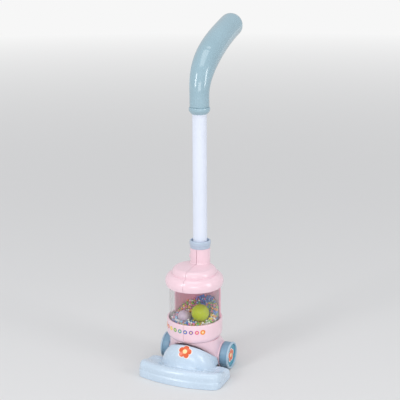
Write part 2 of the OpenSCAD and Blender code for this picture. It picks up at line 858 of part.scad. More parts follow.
// Plan of the floor head, drawn in by t, with its back edge moved in as well
module head_plan(t) {
    r = bow_r - t;
    half = head_w / 2 - t;
    corner = head_corner - t;
    back = -head_back - t;
    corner_y = bow_y - sqrt(pow(r - corner, 2) - pow(half - corner, 2));
    module slice(radius, side) {
        intersection() {
            translate([0, bow_y]) circle(radius);
            translate([-side, -head_front - cut]) square([2 * side, back + head_front + cut]);
        }
    }
    slice(r, half - corner);
    slice(r - corner, half);
    for (s = [-1, 1]) translate([s * (half - corner), corner_y]) circle(corner);
}

// Section of the bar as radius about the bow's centre and height, drawn in by t
module bar_section(t, foot) {
    face = bow_r - lip_set - t;
    translate([bow_r - lip_set - ridge_r, head_h - ridge_r]) circle(ridge_r - t);
    polygon([
        [bow_r - t, foot], [bow_r - t, bumper_h - lip_set - t / 2], [face, bumper_h - t / 2],
        [face, head_h - ridge_r], [bow_r - lip_set - ridge_r, head_h - t],
        [bow_r - shelf_at, shelf_h - t], [bow_r - head_front, tail_h - t], [bow_r - head_front, foot],
    ]);
}

module bar(t, foot) {
    sweep = 2 * asin(head_w / 2 / (bow_r - head_front)) + 4;
    intersection() {
        translate([0, bow_y, 0]) rotate([0, 0, 270 - sweep / 2]) rotate_extrude(angle = sweep)
            bar_section(t, foot);
        translate([0, 0, foot - cut]) linear_extrude(head_h + 2 * cut) head_plan(t);
    }
}

// Hood, a turned form about a line along Y, drawn in by t
module hood(t, back) {
    mid = hood_front - hood_round;
    translate([0, 0, hood_z]) rotate([90, 0, 0]) rotate_extrude() intersection() {
        union() {
            translate([hood_r - hood_round, mid]) circle(hood_round - t);
            square([hood_r - hood_round, hood_front - t]);
            square([hood_r - t, mid]);
        }
        translate([0, back]) square([hood_r, hood_front]);
    }
}

module head_outside() {
    bar(0, head_foot);
    intersection() {
        difference() {
            hood(0, hood_back);
            translate([0, 0, -head_h]) cylinder(r = hood_cut_r, h = 4 * head_h);
        }
        translate([-head_w / 2, -head_front, shelf_h / 2]) cube([head_w, head_front, 2 * hood_r]);
    }
    for (s = [-1, 1]) translate([s * pad_x - pad_w / 2, pad_y, tail_h / 2])
        cube([pad_w, pad_len, pad_h - tail_h / 2]);
}

module head_cover() {
    slot = loose_gap / 2;
    color("lightcyan") difference() {
        union() {
            difference() {
                head_outside();
                bar(head_wall, -cut);
                hood(head_wall, hood_back - cut);
            }
            intersection() {
                head_outside();
                for (at = sole_screws_at) translate([at[0], at[1], sole_t + foot_h])
                    cylinder(r = boss_r, h = head_h);
            }
        }
        for (at = sole_screws_at) translate([at[0], at[1], 0])
            cylinder(r = screw_d / 2 + fixed_gap, h = screw_len + cut);
        for (x = [-arm_x, arm_in]) translate([x - slot, -head_back - 2 * head_wall, 0])
            cube([arm_t + 2 * slot, 3 * head_wall, tail_h - head_wall]);
    }
}

module sole_plate() {
    color("lightsteelblue") difference() {
        linear_extrude(sole_t) head_plan(head_wall + fixed_gap);
        for (at = sole_screws_at) translate([at[0], at[1], -cut]) {
            cylinder(r = screw_d / 2 + fixed_gap, h = sole_t + 2 * cut);
            cylinder(r = screw_head_d / 2 + fixed_gap, h = screw_head_h + cut + fixed_gap);
        }
    }
}

// Lies on the sole plate, passes out through the back of the cover and ends in an eye on the bush
module hinge_arm() {
    arm_top = tail_h - head_wall - loose_gap;
    front = foot_y - boss_r - boss_wall;
    difference() {
        union() {
            slab_x(arm_in, arm_x) {
                translate([axle_back, axle_z]) circle(eye_r);
                polygon([
                    [front, sole_t], [-head_back, sole_t], [axle_back, axle_z - 0.9 * eye_r],
                    [axle_back, axle_z + 0.9 * eye_r], [-head_back, arm_top], [front, arm_top],
                ]);
            }
            translate([arm_x - cut, front, sole_t])
                cube([rear_screw_x + boss_r - arm_x + cut, 2 * (boss_r + boss_wall), foot_h]);
        }
        rod_x(arm_in - cut, arm_x + cut, axle_back, axle_z, bush_r + running_gap);
        translate([rear_screw_x, foot_y, 0]) cylinder(r = screw_d / 2 + fixed_gap, h = head_h);
    }
}

module hinge_arm_left() {
    color("lightsteelblue") mirror([1, 0, 0]) hinge_arm();
}

module hinge_arm_right() {
    color("lightsteelblue") hinge_arm();
}

module sole_screws() {
    seat = screw_head_h + fixed_gap;
    color("silver") for (at = sole_screws_at) translate([at[0], at[1], seat]) {
        cylinder(r = screw_d / 2, h = screw_len - seat);
        translate([0, 0, -screw_head_h]) cylinder(r = screw_head_d / 2, h = screw_head_h);
    }
}

placed() body_shell_left();
placed() body_shell_right();
placed() window();
placed() bead_tray();
placed() bead_fill();
placed() ball_green();
placed() ball_lilac();
placed() pole();
placed() neck_ring();
placed() handle_collar();
placed() handle_grip();
placed() neck_screw();
placed() body_screws();
placed() axle();
placed() axle_clips();
placed() wheel_left();
placed() wheel_right();
placed() wheel_cap_left();
placed() wheel_cap_right();
placed() axle_gear();
placed() axle_bush_left();
placed() axle_bush_right();
placed() agitator_shaft();
placed() agitator_paddle();
placed() agitator_gear();
placed() agitator_bush_left();
placed() agitator_bush_right();
placed() head_cover();
placed() sole_plate();
placed() hinge_arm_left();
placed() hinge_arm_right();
placed() sole_screws();
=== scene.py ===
# %% [markdown]
# This scene dresses a toy upright vacuum cleaner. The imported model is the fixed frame: it gives
# every piece its place, and each new piece rides on one of its bodies. Sizes are written in
# millimetres about the upright axis of the bead chamber, because a maker thinks of the toy that
# way. The last helper call of each piece turns them into metres in the row's frame.

# %% Load the frame
import math
import random

import bmesh
import bpy
from mathutils import Matrix, Vector


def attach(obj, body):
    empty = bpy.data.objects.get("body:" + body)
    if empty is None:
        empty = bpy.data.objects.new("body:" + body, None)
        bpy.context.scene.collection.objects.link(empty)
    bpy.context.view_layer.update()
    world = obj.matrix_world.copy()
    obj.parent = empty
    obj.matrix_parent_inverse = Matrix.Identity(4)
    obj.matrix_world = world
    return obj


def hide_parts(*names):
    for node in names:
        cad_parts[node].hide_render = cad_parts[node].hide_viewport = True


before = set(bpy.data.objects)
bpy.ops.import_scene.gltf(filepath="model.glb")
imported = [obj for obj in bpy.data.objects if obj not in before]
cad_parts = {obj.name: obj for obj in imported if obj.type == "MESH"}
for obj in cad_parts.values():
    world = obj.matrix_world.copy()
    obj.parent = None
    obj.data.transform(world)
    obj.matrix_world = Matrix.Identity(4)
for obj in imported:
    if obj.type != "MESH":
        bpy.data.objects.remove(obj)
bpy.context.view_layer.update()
MM = 0.001
MID_Y = 49.0
TO_ROW = Matrix.Diagonal((MM, MM, MM, 1)) @ Matrix.Translation((0, -MID_Y, 0))

# %% [markdown]
# The camera stands where the photograph was taken from: a little to the right of the toy's front
# and above it, with a long lens, so that the pole stays nearly parallel in the picture. Its place
# is worked out from three angles and three distances along its own axes, which are easier to read
# than a matrix.

# %% Camera
AZIMUTH, ELEVATION, ROLL = (math.radians(a) for a in (23.2, 15.35, 0.31))
to_camera = Vector((math.sin(AZIMUTH) * math.cos(ELEVATION),
                    -math.cos(AZIMUTH) * math.cos(ELEVATION), math.sin(ELEVATION)))
level = Vector((math.cos(AZIMUTH), math.sin(AZIMUTH), 0))
upward = to_camera.cross(level)
camera_right = level * math.cos(ROLL) - upward * math.sin(ROLL)
camera_up = level * math.sin(ROLL) + upward * math.cos(ROLL)
SHIFT, RISE, AWAY = 8.56, 285.3, 1640
stand = camera_right * SHIFT + camera_up * RISE + to_camera * AWAY
camera = bpy.data.objects.new("camera", bpy.data.cameras.new("camera"))
bpy.context.collection.objects.link(camera)
turn = Matrix((camera_right, camera_up, to_camera)).transposed().to_4x4()
camera.matrix_world = Matrix.Translation(TO_ROW @ stand) @ turn
camera.data.sensor_width = 36
camera.data.lens = 85.5
camera.data.clip_end = 100
bpy.context.scene.camera = camera
print("camera at", [round(c, 3) for c in camera.location])

# %% [markdown]
# The light is a plain studio: a tall soft box on the left of the camera, another on the right, a
# low broad one in front that shines into the chamber, and a lamp overhead. Tall boxes draw long
# highlights on the grip and the pole. All of them look at one point near half the toy's height.

# %% Lamps
LAMP_AIM = Vector((0, 0, 0.28))


def lamp(name, place, size, watts):
    data = bpy.data.lights.new(name, "AREA")
    data.shape = "RECTANGLE"
    data.size, data.size_y = size
    data.energy = watts
    obj = bpy.data.objects.new(name, data)
    bpy.context.collection.objects.link(obj)
    obj.location = place
    obj.rotation_euler = (LAMP_AIM - Vector(place)).to_track_quat("-Z", "Y").to_euler()


lamp("key_lamp", (-0.95, -1.95, 1.25), (0.55, 1.3), 13)
lamp("front_lamp", (0.9, -2.3, 0.7), (1.2, 0.9), 9)
lamp("fill_lamp", (2.0, -0.35, 0.95), (0.5, 1.2), 9)
lamp("top_lamp", (0.1, -0.5, 2.4), (1.4, 1.4), 10)

# %% [markdown]
# Finishes and the world are made of shader nodes. Two helpers keep that short: one adds a node and
# sets its values, and one tells the rays that the camera sees from those that only carry light.

# %% Node helpers
def add_node(tree, kind, **values):
    node = tree.nodes.new(kind)
    for key, value in values.items():
        if hasattr(node, key):
            setattr(node, key, value)
        else:
            node.inputs[key.replace("_", " ")].default_value = value
    return node


def seen_straight(tree):
    """1 for rays that the camera sees directly or through gloss and glass."""
    path = add_node(tree, "ShaderNodeLightPath")
    share = path.outputs["Is Camera Ray"]
    for ray in ("Is Glossy Ray", "Is Transmission Ray"):
        either = add_node(tree, "ShaderNodeMath", operation="MAXIMUM")
        tree.links.new(share, either.inputs[0])
        tree.links.new(path.outputs[ray], either.inputs[1])
        share = either.outputs[0]
    return share

# %% [markdown]
# The floor is a large pale sheet that takes the toy's shadow. Far behind the toy it fades into plain
# white for what the camera sees straight, in gloss or through the window. For all other rays it stays
# a plain floor, so the white throws no light on the toy.

# %% Floor
PALE = 0.93
FLOOR_HALF, FLOOR_TINT = 30, (0.76, 0.76, 0.763, 1)
FADE_FROM, FADE_TO = 0.5, 6.0
bm = bmesh.new()
bmesh.ops.create_grid(bm, x_segments=2, y_segments=2, size=FLOOR_HALF)
floor_mesh = bpy.data.meshes.new("floor")
bm.to_mesh(floor_mesh)
bm.free()
floor = bpy.data.objects.new("floor", floor_mesh)
bpy.context.collection.objects.link(floor)

floor_finish = bpy.data.materials.new("pale_floor")
floor_finish.use_nodes = True
tree = floor_finish.node_tree
floor_shader = tree.nodes["Principled BSDF"]
floor_shader.inputs["Base Color"].default_value = FLOOR_TINT
floor_shader.inputs["Roughness"].default_value = 0.75
white = add_node(tree, "ShaderNodeEmission", Color=(PALE, PALE, PALE, 1))
reach = add_node(tree, "ShaderNodeVectorMath", operation="LENGTH")
tree.links.new(add_node(tree, "ShaderNodeTexCoord").outputs["Object"], reach.inputs[0])
fade = add_node(tree, "ShaderNodeMapRange", From_Min=FADE_FROM, From_Max=FADE_TO)
tree.links.new(reach.outputs["Value"], fade.inputs["Value"])
share = add_node(tree, "ShaderNodeMath", operation="MULTIPLY")
tree.links.new(fade.outputs["Result"], share.inputs[0])
tree.links.new(seen_straight(tree), share.inputs[1])
blend = add_node(tree, "ShaderNodeMixShader")
tree.links.new(share.outputs[0], blend.inputs[0])
tree.links.new(floor_shader.outputs[0], blend.inputs[1])
tree.links.new(white.outputs[0], blend.inputs[2])
tree.links.new(blend.outputs[0], tree.nodes["Material Output"].inputs["Surface"])
floor_mesh.materials.append(floor_finish)
print("floor fades to white between", FADE_FROM, "and", FADE_TO, "m")

# %% [markdown]
# The world is an even pale sky. It fills the shadows at one strength and shows itself to the camera
# at another, so the background can be light without washing out the toy.

# %% World
FILL = 0.62
world = bpy.data.worlds.new("studio")
bpy.context.scene.world = world
world.use_nodes = True
sky = world.node_tree
sky.nodes.clear()
fill = add_node(sky, "ShaderNodeBackground", Color=(0.97, 0.98, 1.0, 1), Strength=FILL)
shown = add_node(sky, "ShaderNodeBackground", Color=(PALE, PALE, PALE, 1))
mix = add_node(sky, "ShaderNodeMixShader")
out = add_node(sky, "ShaderNodeOutputWorld")
path = add_node(sky, "ShaderNodeLightPath")
sky.links.new(path.outputs["Is Camera Ray"], mix.inputs[0])
sky.links.new(fill.outputs[0], mix.inputs[1])
sky.links.new(shown.outputs[0], mix.inputs[2])
sky.links.new(mix.outputs[0], out.inputs["Surface"])
bpy.context.scene.view_settings.view_transform = "Standard"
print("world fill:", FILL)

# %% [markdown]
# Nearly all of the toy is injection-moulded plastic. Moulded plastic is never quite even: its
# colour drifts a little over a hand's width, and its gloss is broken by a fine skin. One function
# makes that finish from Object coordinates, for any tint, gloss and clear coat.

# %% Moulded plastic
DRIFT_SCALE, SKIN_SCALE, COAT_ROUGH = 14, 220, 0.08


def linear(rgb):
    return tuple(c / 12.92 if c <= 0.04045 else ((c + 0.055) / 1.055) ** 2.4 for c in rgb)


def noise(tree, where, scale, detail):
    node = add_node(tree, "ShaderNodeTexNoise", Scale=scale, Detail=detail)
    tree.links.new(where, node.inputs["Vector"])
    return node.outputs["Fac"]


def moulded(name, rgb, gloss=0.3, drift=0.04, coat=0.0):
    finish = bpy.data.materials.new(name)
    finish.use_nodes = True
    tree = finish.node_tree
    shader = tree.nodes["Principled BSDF"]
    where = add_node(tree, "ShaderNodeTexCoord").outputs["Object"]
    colour = linear(rgb)
    ramp = add_node(tree, "ShaderNodeValToRGB")
    ramp.color_ramp.elements[0].position = 0.3
    ramp.color_ramp.elements[1].position = 0.7
    ramp.color_ramp.elements[0].color = (*(c * (1 - drift) for c in colour), 1)
    ramp.color_ramp.elements[1].color = (*(min(1, c * (1 + drift)) for c in colour), 1)
    tree.links.new(noise(tree, where, DRIFT_SCALE, 3), ramp.inputs["Fac"])
    tree.links.new(ramp.outputs["Color"], shader.inputs["Base Color"])
    skin = add_node(tree, "ShaderNodeMapRange", To_Min=gloss * 0.85, To_Max=gloss * 1.2)
    tree.links.new(noise(tree, where, SKIN_SCALE, 4), skin.inputs["Value"])
    tree.links.new(skin.outputs["Result"], shader.inputs["Roughness"])
    shader.inputs["Coat Weight"].default_value = coat
    shader.inputs["Coat Roughness"].default_value = COAT_ROUGH
    return finish

# %% [markdown]
# Each colour of plastic on the toy is one call. The tints were compared with the photograph under this
# scene's light, so some of them are deeper than they look. The back wall's pink is the body's pink made
# deeper and redder: it is painted shade, standing for the shade and the pink bounce light inside the
# chamber. The green ball shines less, which keeps its colour strong behind the window.

# %% Colours of plastic
pink = moulded("pink_plastic", (0.95, 0.825, 0.865), gloss=0.24, coat=0.5)
pale_blue = moulded("pale_blue_plastic", (0.785, 0.855, 0.92), gloss=0.26, coat=0.4)
# painted shade: a deeper copy of the body pink for the back wall, for the shade inside the chamber
shade_painted_pink = moulded("shade_painted_pink_plastic", (0.94, 0.68, 0.76), gloss=0.4)
grip_blue = moulded("grip_blue_plastic", (0.60, 0.715, 0.765), gloss=0.14, coat=0.7)
ring_blue = moulded("ring_blue_plastic", (0.72, 0.78, 0.85), gloss=0.28, coat=0.3)
tube_white = moulded("tube_white_plastic", (0.885, 0.91, 0.965), gloss=0.36, drift=0.02)
wheel_blue = moulded("wheel_blue_plastic", (0.49, 0.63, 0.725), gloss=0.38)
rim_blue = moulded("rim_blue_plastic", (0.67, 0.77, 0.84), gloss=0.3, coat=0.2)
cap_teal = moulded("cap_teal_plastic", (0.22, 0.58, 0.68), gloss=0.25, coat=0.3)
lime_ball = moulded("lime_ball_plastic", (0.74, 0.79, 0.01), gloss=0.1, drift=0.12, coat=0.25)
lime_ball.node_tree.nodes["Principled BSDF"].inputs["Specular IOR Level"].default_value = 0.2
lilac_ball = moulded("lilac_ball_plastic", (0.83, 0.74, 0.82), gloss=0.3, drift=0.06, coat=0.3)
inner_white = moulded("inner_white_plastic", (0.90, 0.90, 0.87), gloss=0.5)
print("finishes:", len(bpy.data.materials))

# %% [markdown]
# The window is a thin clear bent sheet. Glass shading would bend every ray twice in it and stop
# the lamps. A thin sheet hardly bends light, so this finish is plain see-through with a glossy skin
# over it, and the skin takes a larger share where the sheet is seen at a flat angle.

# %% Clear window and steel
def clear_sheet(name):
    finish = bpy.data.materials.new(name)
    finish.use_nodes = True
    tree = finish.node_tree
    shader = tree.nodes["Principled BSDF"]
    shader.inputs["Base Color"].default_value = (0.80, 0.82, 0.82, 1)
    shader.inputs["Roughness"].default_value = 0.05
    edge = add_node(tree, "ShaderNodeLayerWeight", Blend=0.25)
    share = add_node(tree, "ShaderNodeMapRange", To_Min=0.012, To_Max=0.45)
    tree.links.new(edge.outputs["Facing"], share.inputs["Value"])
    open_way = add_node(tree, "ShaderNodeBsdfTransparent", Color=(0.985, 0.99, 0.99, 1))
    either = add_node(tree, "ShaderNodeMixShader")
    tree.links.new(share.outputs["Result"], either.inputs[0])
    tree.links.new(open_way.outputs[0], either.inputs[1])
    tree.links.new(shader.outputs[0], either.inputs[2])
    tree.links.new(either.outputs[0], tree.nodes["Material Output"].inputs["Surface"])
    return finish


def turned_steel(name):
    finish = moulded(name, (0.72, 0.72, 0.74), gloss=0.3, drift=0.08)
    finish.node_tree.nodes["Principled BSDF"].inputs["Metallic"].default_value = 1
    return finish


window_clear = clear_sheet("window_clear")
steel = turned_steel("turned_steel")
print("clear and metal finishes:", window_clear.name, steel.name)

# %% [markdown]
# Most pieces of this toy are turned forms or halves of them. A piece starts as one outline of
# radius and height. Its corners are rounded with a vertex bevel, and spin sweeps the outline round
# an axis. A half turn leaves two open ends, which are filled and get a small bevel, so that two
# halves side by side show the fine groove of a real mould seam.

# %% Helpers for turned pieces
def rounded_outline(points, rounds):
    bm = bmesh.new()
    corners = [bm.verts.new((r, 0, z)) for r, z in points]
    bm.faces.new(corners)
    for index, (length, segments) in rounds.items():
        bmesh.ops.bevel(bm, geom=[corners[index]], offset=length, offset_type="OFFSET",
                        affect="VERTICES", segments=segments, profile=0.5, material=-1)
    bmesh.ops.delete(bm, geom=bm.faces[:], context="FACES_ONLY")
    return bm


def spun(points, rounds, start=0, angle=360, steps=96):
    bm = rounded_outline(points, rounds)
    bmesh.ops.rotate(bm, cent=(0, 0, 0), matrix=Matrix.Rotation(math.radians(start), 3, "Z"), verts=bm.verts)
    bmesh.ops.spin(bm, geom=bm.verts[:] + bm.edges[:], cent=(0, 0, 0), axis=(0, 0, 1),
                   angle=math.radians(angle), steps=steps, use_merge=angle == 360)
    return bm


def closed_ends(bm, seam):
    ends = bmesh.ops.edgeloop_fill(bm, edges=[e for e in bm.edges if e.is_boundary])["faces"]
    bmesh.ops.recalc_face_normals(bm, faces=bm.faces)
    edges = list({e for face in ends for e in face.edges})
    bmesh.ops.bevel(bm, geom=edges, offset=seam, offset_type="OFFSET", affect="EDGES",
                    segments=2, profile=0.5, material=-1, clamp_overlap=True)
    return bm


def moved(bm, matrix):
    bmesh.ops.transform(bm, matrix=matrix, verts=bm.verts)
    return bm


def onto_x(x, y, z, side=1):
    """Turns a piece made about Z to lie along X, pointing to +X or -X."""
    return Matrix.Translation((x, y, z)) @ Matrix.Rotation(math.radians(90 * side), 4, "Y")

# %% [markdown]
# A finished piece is welded, turned into metres and shaded smooth, with its sharp edges kept. Then it is
# tied to the body that it rides on, its finish goes in its material slot, and the frame's nodes that it
# stands for are hidden.

# %% Finished pieces
def piece(bm, name, finish, body, stands_for=(), sharp=35, welded=True):
    if welded:
        bmesh.ops.remove_doubles(bm, verts=bm.verts, dist=0.001)
        bmesh.ops.recalc_face_normals(bm, faces=bm.faces)
    moved(bm, TO_ROW)
    mesh = bpy.data.meshes.new(name)
    bm.to_mesh(mesh)
    bm.free()
    mesh.shade_smooth()
    mesh.set_sharp_from_angle(angle=math.radians(sharp))
    mesh.materials.append(finish)
    obj = bpy.data.objects.new(name, mesh)
    bpy.context.collection.objects.link(obj)
    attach(obj, body)
    if stands_for:
        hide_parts(*stands_for)
    print(f"{name}: {len(mesh.polygons)} faces")
    return obj

# %% [markdown]
# The body is moulded as a left and a right shell that meet on the toy's middle plane. Each half
# of the dome is a half turn of one outline: a fat rounded skirt, a crease, a smaller tier and a
# flat crown, with an inner wall that ends in a lip over the window.

# %% Dome halves
WALL = 2.4
WINDOW_R, WINDOW_IN = 43.0, 41.4
BOWL_R, DOME_R, TIER_R = 47.0, 49.0, 37.5
BOWL_Z, RIM_Z, DOME_Z = 57.0, 92.0, 149.0
SKIRT_Z, SKIRT_ROUND = 170.0, 13.5
TIER_Z, TIER_ROUND = 180.5, 8.5
CROWN_Z, NECK_TOP = 182.0, 207.0
LIP_Z, LIP_GAP = 154.0, 0.4
NEAR_AXIS = 0.02
SEAM, SEAM_GAP = 0.3, 0.22
SIDES = {"left": -1, "right": 1}
START = {"left": 90, "right": -90}
SHELL = {"left": "body_shell_left", "right": "body_shell_right"}
dome_outline = [
    (47.3, DOME_Z), (DOME_R, 156), (DOME_R, SKIRT_Z), (TIER_R, SKIRT_Z), (TIER_R, TIER_Z),
    (NEAR_AXIS, CROWN_Z), (NEAR_AXIS, CROWN_Z - WALL), (TIER_R - WALL, TIER_Z - WALL),
    (TIER_R - WALL, SKIRT_Z - WALL), (DOME_R - WALL, SKIRT_Z - WALL), (DOME_R - WALL, LIP_Z),
    (WINDOW_R + LIP_GAP, LIP_Z), (WINDOW_R + LIP_GAP, DOME_Z),
]
dome_rounds = {0: (1.2, 4), 2: (SKIRT_ROUND, 14), 3: (0.9, 4), 4: (TIER_ROUND, 12), 7: (6, 4), 9: (11, 5),
               12: (0.8, 3)}


def apart(half, side, gap=SEAM_GAP):
    """Draws a half back from the middle plane, so that a dark line shows at the seam."""
    return moved(half, Matrix.Translation((SIDES[side] * gap, 0, 0)))


for side in SIDES:
    half = apart(closed_ends(spun(dome_outline, dome_rounds, START[side], 180, 80), SEAM), side)
    piece(half, f"dome_{side}", pink, "upright", (SHELL[side],))

# %% [markdown]
# The neck is a tube round the pole that grows out of the dome with a soft fillet. A tube is easy
# to spin, but its foot has to follow the dome, which is not flat there. So the outline has a few
# extra rings at its foot, and each vertex of them is set on the dome's height at its own place.

# %% Neck halves
POLE_BACK, NECK_R = 25.4, 16.8
NECK_BORE, NECK_FILLET, NECK_GAP = 13.0, 3.0, 0.35
BORE_SINK, FOOT_SINK = 4.0, 0.25


def dome_height(x, y):
    """Height of the dome's outside over a point, in millimetres."""
    r = math.hypot(x, y)
    flat = TIER_R - TIER_ROUND
    if r <= flat:
        return CROWN_Z - (CROWN_Z - TIER_Z) * r / flat
    if r <= TIER_R:
        return TIER_Z - TIER_ROUND + math.sqrt(max(0, TIER_ROUND ** 2 - (r - flat) ** 2))
    out = r - DOME_R + SKIRT_ROUND
    return SKIRT_Z - SKIRT_ROUND + math.sqrt(max(0, SKIRT_ROUND ** 2 - out ** 2))


for side in SIDES:
    foot = [(NECK_R + out, ring) for ring, out in enumerate((NECK_FILLET, 2, 1.2, 0.5, 0))]
    outline = [(NECK_BORE, 0)] + foot + [(NECK_R, NECK_TOP), (NECK_BORE, NECK_TOP)]
    half = spun(outline, {}, START[side], 180, 48)
    for v in half.verts:
        if v.co.z < len(foot):
            x, y = v.co.x, v.co.y + POLE_BACK
            reach = (math.hypot(v.co.x, v.co.y) - NECK_R) / NECK_FILLET
            fillet = NECK_FILLET * (1 - math.sqrt(max(0, 1 - (1 - reach) ** 2)))
            on_bore = reach < -0.1
            v.co.z = dome_height(x, y) - BORE_SINK if on_bore else dome_height(x, y) + fillet - FOOT_SINK
    moved(half, Matrix.Translation((0, POLE_BACK, 0)))
    half = apart(closed_ends(half, SEAM), side, NECK_GAP)
    piece(half, f"neck_{side}", pink, "upright", (SHELL[side],))

# %% [markdown]
# Inside the dome the neck goes on as a cup that the pole stands in. It shows through the window
# from low down, and when the toy leans back. It is turned about the pole, with a hole in its floor.

# %% Pole socket
SOCKET_Z, SOCKET_R, SOCKET_BORE, SOCKET_HOLE = 163.0, 14.4, 12.15, 9.6
SOCKET_TOP = CROWN_Z - 1.5
socket_outline = [
    (SOCKET_HOLE, SOCKET_Z - WALL), (SOCKET_R, SOCKET_Z - WALL), (SOCKET_R, SOCKET_TOP),
    (SOCKET_BORE, SOCKET_TOP), (SOCKET_BORE, SOCKET_Z), (SOCKET_HOLE, SOCKET_Z),
]
socket = moved(spun(socket_outline, {1: (0.8, 4)}, steps=64), Matrix.Translation((0, POLE_BACK, 0)))
piece(socket, "pole_socket", pink, "upright", tuple(SHELL.values()))

# %% [markdown]
# Under the dome a pink back wall closes the chamber behind the window. It is a bent plate, so an
# outline of its thickness and height is swept from the window's edge round to the middle plane.

# %% Back wall halves
SPINE_EDGE, BACK_LOW, BACK_HIGH = 15, 66, 153
BACK_R = WINDOW_R + 0.8
back_outline = [(WINDOW_IN, BACK_LOW), (BACK_R, BACK_LOW), (BACK_R, BACK_HIGH), (WINDOW_IN, BACK_HIGH)]
for side, start in (("left", 90), ("right", SPINE_EDGE)):
    half = apart(closed_ends(spun(back_outline, {}, start, 90 - SPINE_EDGE, 36), SEAM), side)
    # The back wall takes the deeper pink, which paints the chamber's shade onto it.
    piece(half, f"back_wall_{side}", shade_painted_pink, "upright", (SHELL[side],))

# %% [markdown]
# The bowl holds the beads. Its rim is rounded and turns in to the window, and its bottom edge has a
# large radius, so it reads as a cup. It is turned like the dome, in two halves with the same seam.

# %% Bowl halves
RIM_IN = WINDOW_R + 0.3
bowl_outline = [
    (NEAR_AXIS, BOWL_Z), (BOWL_R, BOWL_Z), (BOWL_R, RIM_Z), (RIM_IN, RIM_Z), (RIM_IN, RIM_Z - 3),
    (BOWL_R - WALL, RIM_Z - 5), (BOWL_R - WALL, BOWL_Z + WALL),
    (NEAR_AXIS, BOWL_Z + WALL),
]
bowl_rounds = {1: (12, 12), 2: (1.6, 6), 3: (1.0, 4), 6: (9.6, 8)}
for side in SIDES:
    half = apart(closed_ends(spun(bowl_outline, bowl_rounds, START[side], 180, 80), SEAM), side)
    piece(half, f"bowl_{side}", pink, "upright", (SHELL[side],))

# %% [markdown]
# Some pieces are cut out of a solid, as a mould maker mills a block. The cutters are simple closed
# forms, so a Boolean modifier is safe. It sits on a scratch object, its result is read back at once,
# and the scratch objects go.

# %% Helpers for cut pieces
def block(lo, hi):
    bm = bmesh.new()
    size = Vector(hi) - Vector(lo)
    bmesh.ops.create_cube(bm, size=1, matrix=Matrix.Translation((Vector(lo) + Vector(hi)) / 2)
                          @ Matrix.Diagonal((*size, 1)))
    return bm


def rod(r, length, matrix, segments=96):
    bm = bmesh.new()
    bmesh.ops.create_cone(bm, cap_ends=True, segments=segments, radius1=r, radius2=r, depth=length,
                          matrix=matrix)
    return bm


def scratch(bm, name):
    mesh = bpy.data.meshes.new(name)
    bm.to_mesh(mesh)
    bm.free()
    obj = bpy.data.objects.new(name, mesh)
    bpy.context.collection.objects.link(obj)
    return obj


def baked(obj):
    """What a scratch object is with its modifiers, as a new bmesh. The object goes."""
    bpy.context.view_layer.update()
    result = bmesh.new()
    result.from_mesh(obj.evaluated_get(bpy.context.evaluated_depsgraph_get()).to_mesh())
    bpy.data.objects.remove(obj)
    return result


def carved(solid, cutters):
    """The solid with each cutter taken out of it, as a new bmesh."""
    for bm in [solid] + cutters:
        bmesh.ops.recalc_face_normals(bm, faces=bm.faces)
    whole = scratch(solid, "carve_whole")
    tools = [scratch(c, "carve_tool") for c in cutters]
    for tool in tools:
        cut = whole.modifiers.new("cut", "BOOLEAN")
        cut.operation = "DIFFERENCE"
        cut.solver = "EXACT"
        cut.object = tool
    result = baked(whole)
    for tool in tools:
        bpy.data.objects.remove(tool)
    return result

# %% [markdown]
# The saddle runs from under the bowl down to the two legs beside the wheels. Its outside is the
# skin stretched over a disc and two upright rings, which is exactly a convex hull. A smaller hull
# hollows it, and a round arch opens its front, so that the hinge arms can reach the axle.

# %% Saddle halves
AXLE_BACK, AXLE_Z = 16.0, 23.0
SADDLE_R, SADDLE_SIDE_R, LEG_R, LEG_X = 38.0, 43.5, 19.4, 46.5
ARM_ROOM, ARCH_R, ARCH_END = 37.5, 33.5, -9.2
HOLLOW_X, BUSH_BORE, HALF_GAP = 41.5, 4.6, 0.04
FAR = 60.0


def stretched(inset, leg_end, bottom, top):
    bm = bmesh.new()
    oval = Matrix.Diagonal((SADDLE_SIDE_R - inset, SADDLE_R - inset, 1, 1))
    for z in (bottom, top):
        bmesh.ops.create_circle(bm, segments=120, radius=1, matrix=Matrix.Translation((0, 0, z)) @ oval)
    for s in (-1, 1):
        leg = onto_x(s * leg_end, AXLE_BACK, AXLE_Z)
        bmesh.ops.create_circle(bm, segments=120, radius=LEG_R - inset, matrix=leg)
    hull = bmesh.ops.convex_hull(bm, input=bm.verts[:])
    inside = [g for g in hull["geom_interior"] if isinstance(g, bmesh.types.BMVert)]
    bmesh.ops.delete(bm, geom=inside, context="VERTS")
    return bm


for side, sign in SIDES.items():
    outside = stretched(0, LEG_X - 1.3, BOWL_Z - 3, BOWL_Z + 1.5)
    hollow = stretched(WALL, HOLLOW_X, BOWL_Z - 3.5, BOWL_Z - 1)
    ahead = Matrix.Translation((0, ARCH_END - FAR / 2, AXLE_Z)) @ Matrix.Rotation(math.pi / 2, 4, "X")
    arch = rod(ARCH_R, FAR, ahead)
    low = block((-ARM_ROOM, -FAR, -5), (ARM_ROOM, 12, 25))
    under = block((-ARM_ROOM, -FAR, -5), (ARM_ROOM, 24, 11))
    bore = rod(BUSH_BORE, 140, onto_x(0, AXLE_BACK, AXLE_Z), 48)
    across = (-80, -HALF_GAP) if sign > 0 else (HALF_GAP, 80)
    other = block((across[0], -FAR, -10), (across[1], 80, 90))
    leg = carved(outside, [hollow, arch, low, under, bore, other])
    piece(leg, f"saddle_{side}", pink, "upright", (SHELL[side],), sharp=30)

# %% [markdown]
# Each leg ends in a round flange beside its wheel. It is turned about the axle, and its bore leaves
# room for the bush, so it covers the raw edge of the saddle's side.

